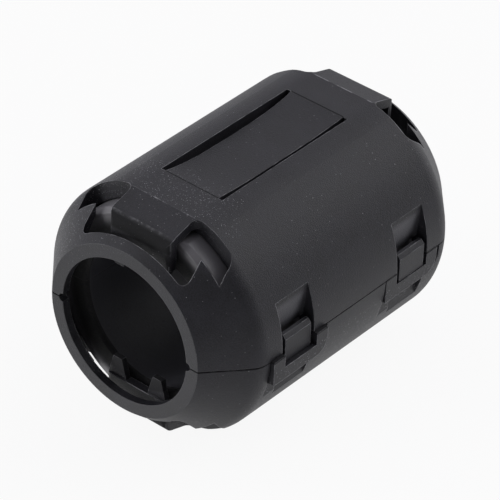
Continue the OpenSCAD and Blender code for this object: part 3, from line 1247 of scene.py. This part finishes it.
class BEAD_OT_finish_cores(bpy.types.Operator):
    """Gives the two half cores their sintered finish"""

    bl_idname = "bead.finish_cores"
    bl_label = "Finish the cores"

    def execute(self, context):
        look = context.scene.bead_cores
        for node in CORE_NODES:
            ferrite = shared_material("Sintered ferrite", sintered_ferrite, look)
            finish_node(node, ferrite)
        return {"FINISHED"}


class BEAD_OT_add_hinge_straps(bpy.types.Operator):
    """Adds the living hinge's straps, folded as while the case is shut"""

    bl_idname = "bead.add_hinge_straps"
    bl_label = "Add the hinge straps"

    def execute(self, context):
        look = context.scene.bead_hinge
        case_look = context.scene.bead_case
        plastic = shared_material("Moulded case", moulded_case, case_look)
        for node in STRAP_NODES:
            strap, fold, outer = folded_strap(node, look)
            strap.data.materials.append(plastic)
            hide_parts(node)
            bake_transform(strap)
        return {"FINISHED"}


def soft_lamp(name, place, target, size, power):
    """A square lamp that faces the bead."""
    data = bpy.data.lights.new(name, "AREA")
    data.shape = "SQUARE"
    data.size = size
    data.energy = power
    lamp = bpy.data.objects.new(name, data)
    bpy.context.scene.collection.objects.link(lamp)
    lamp.location = place
    away = Vector(place) - target
    lamp.rotation_euler = away.to_track_quat("Z", "Y").to_euler()


def aim_camera(look, centre):
    """The camera on its line of sight, rolled a little."""
    turn, rise, roll = look.azimuth, look.elevation, look.roll
    ahead = Vector((math.sin(turn), -math.cos(turn), 0))
    level = Vector((math.cos(turn), math.sin(turn), 0))
    back = math.cos(rise) * ahead + Vector((0, 0, math.sin(rise)))
    upright = back.cross(level)
    right = math.cos(roll) * level + math.sin(roll) * upright
    up = math.cos(roll) * upright - math.sin(roll) * level
    data = bpy.data.cameras.new("Camera")
    data.sensor_width = SENSOR_WIDTH
    data.lens = look.lens
    data.clip_start = 0.01
    data.clip_end = 10
    camera = bpy.data.objects.new("Camera", data)
    bpy.context.scene.collection.objects.link(camera)
    place = centre + look.distance * back - CAMERA_ASIDE * right - CAMERA_BELOW * up
    facing = Matrix((right, up, back)).transposed().to_4x4()
    camera.matrix_world = Matrix.Translation(place) @ facing
    bpy.context.scene.camera = camera


def plain_floor(look):
    """A wide floor just under the bead."""
    shape = bmesh.new()
    bmesh.ops.create_grid(shape, x_segments=1, y_segments=1, size=FLOOR_HALF)
    bmesh.ops.translate(shape, verts=shape.verts, vec=(0, 0, CAD_LOW.z - FLOOR_GAP))
    mesh = bpy.data.meshes.new("Floor")
    shape.to_mesh(mesh)
    shape.free()
    mesh.materials.append(pale_floor(look))
    floor = bpy.data.objects.new("Floor", mesh)
    bpy.context.scene.collection.objects.link(floor)
    return floor


def daylight(look):
    """A sky that is bright on the window's side and dim towards the room."""
    world = bpy.data.worlds.new("Sky")
    world.use_nodes = True
    tree = world.node_tree
    links = tree.links
    sky = tree.nodes["Background"]
    sky.inputs["Color"].default_value = SKY_COLOUR
    towards = Vector(look.sky_from).normalized()
    side = measure(tree, "DOT_PRODUCT", coordinates(tree, "Generated"), towards)
    light = map_range(tree, side, *SKY_TURNS, look.sky_dark, look.sky_bright)
    light.node.interpolation_type = "SMOOTHSTEP"
    links.new(light, sky.inputs["Strength"])

    # The camera sees plain white instead
    paper = add_node(tree, "ShaderNodeBackground", {"Color": WHITE, "Strength": 1.0})
    path = add_node(tree, "ShaderNodeLightPath")
    seen = add_node(tree, "ShaderNodeMixShader")
    links.new(path.outputs["Is Camera Ray"], seen.inputs[0])
    links.new(sky.outputs[0], seen.inputs[1])
    links.new(paper.outputs[0], seen.inputs[2])
    links.new(seen.outputs[0], tree.nodes["World Output"].inputs["Surface"])
    return world


class BEAD_OT_add_studio(bpy.types.Operator):
    """Adds the floor, the lamps, the sky and the camera"""

    bl_idname = "bead.add_studio"
    bl_label = "Add the studio"

    def execute(self, context):
        scene = context.scene
        look = scene.bead_studio
        plain_floor(look)
        scene.world = daylight(look)
        centre = Vector((0, 0, AXIS_HEIGHT))
        for name, place, size, power in LAMPS:
            soft_lamp(name, place, centre, size, getattr(look, power))
        aim_camera(look, centre)
        scene.view_settings.view_transform = "Standard"
        return {"FINISHED"}


class BEAD_PT_panel(bpy.types.Panel):
    """Steps and settings of the ferrite bead"""

    bl_idname = "BEAD_PT_panel"
    bl_label = "Ferrite Bead"
    bl_space_type = "VIEW_3D"
    bl_region_type = "UI"
    bl_category = "Ferrite Bead"

    def draw(self, context):
        for operator, settings in STEPS:
            box = self.layout.box()
            box.operator(operator)
            look = getattr(context.scene, settings)
            for name in look.__annotations__:
                box.prop(look, name)


STEPS = (
    ("bead.finish_case", "bead_case"),
    ("bead.finish_cores", "bead_cores"),
    ("bead.add_hinge_straps", "bead_hinge"),
    ("bead.add_studio", "bead_studio"),
)
SETTINGS = {
    "bead_case": CaseLook,
    "bead_cores": CoreLook,
    "bead_hinge": HingeLook,
    "bead_studio": StudioLook,
}
CLASSES = (
    *SETTINGS.values(),
    BEAD_OT_finish_case,
    BEAD_OT_finish_cores,
    BEAD_OT_add_hinge_straps,
    BEAD_OT_add_studio,
    BEAD_PT_panel,
)


def register():
    for cls in CLASSES:
        bpy.utils.register_class(cls)
    for name, group in SETTINGS.items():
        setattr(bpy.types.Scene, name, bpy.props.PointerProperty(type=group))


def unregister():
    for name in SETTINGS:
        delattr(bpy.types.Scene, name)
    for cls in reversed(CLASSES):
        bpy.utils.unregister_class(cls)


def main():
    register()
    bpy.ops.bead.finish_case()
    bpy.ops.bead.finish_cores()
    bpy.ops.bead.add_hinge_straps()
    bpy.ops.bead.add_studio()


if __name__ == "__main__":
    main()
